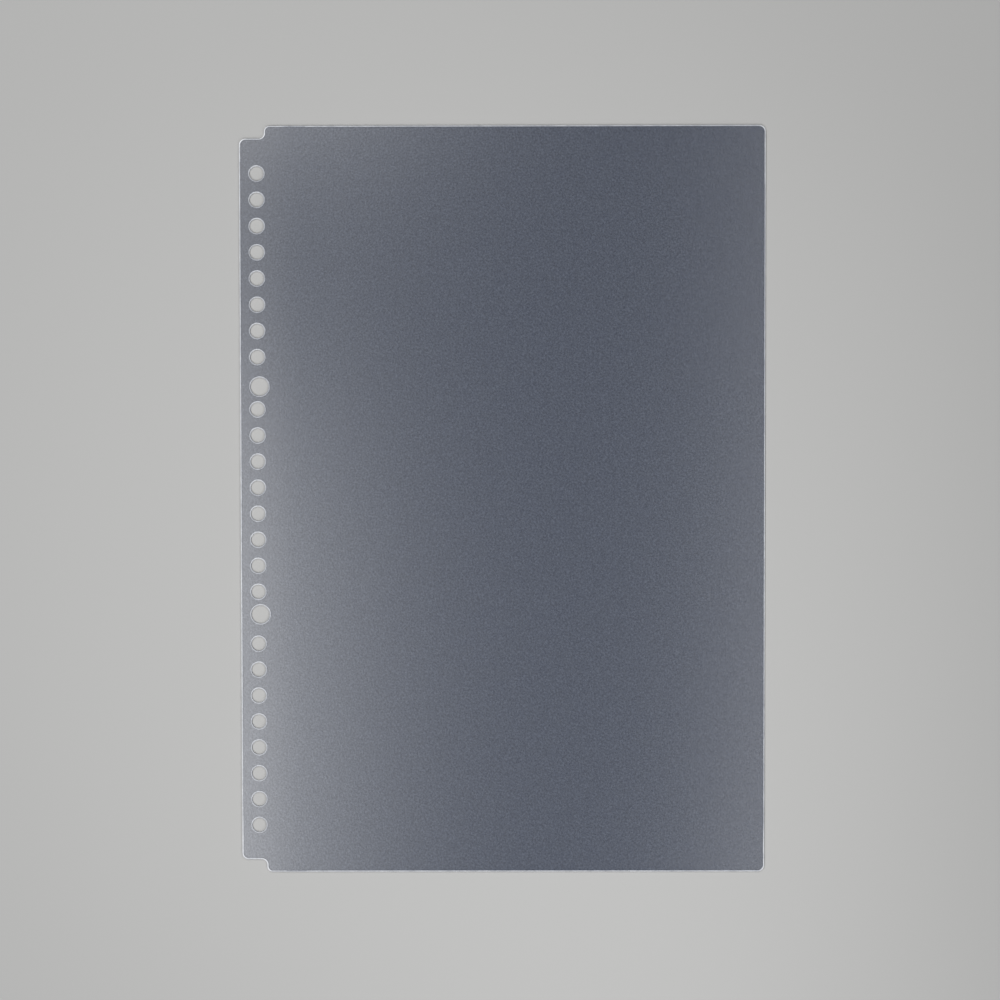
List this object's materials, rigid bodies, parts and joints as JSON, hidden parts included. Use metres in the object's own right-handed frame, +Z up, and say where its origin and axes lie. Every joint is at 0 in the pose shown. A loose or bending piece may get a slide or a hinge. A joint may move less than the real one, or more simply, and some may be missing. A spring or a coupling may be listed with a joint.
{
  "type": "loose-leaf binder cover",
  "caption": "Flat die-cut sheet of frosted translucent plastic with a ring-punched, notched binding strip that flexes beside its punched holes.",
  "frame": {"origin": "middle of the sheet's underside, the face that it lies on", "axes": "+X from the punched spine edge to the fore edge, +Y along the sheet towards its upper end in the picture, +Z up through its thickness"},
  "size_m": [0.191, 0.272, 0.0007],
  "materials": {
    "frosted_sheet": "finely frosted translucent polypropylene with a soft satin sheen and brighter cut edges"
  },
  "bodies": {
    "strip": {"binding_strip": "frosted_sheet", "flex_band": "frosted_sheet"},
    "panel": {"cover_panel": "frosted_sheet"}
  },
  "joints": [
    {"name": "margin_flex", "type": "hinge", "parent": "strip", "child": "panel", "pos_m": [-0.0755, 0, 0.00035], "axis": [0, -1, 0], "range_deg": [0, 60], "stiffness_Nm_per_rad": 0.84, "deforming": ["flex_band"]}
  ]
}
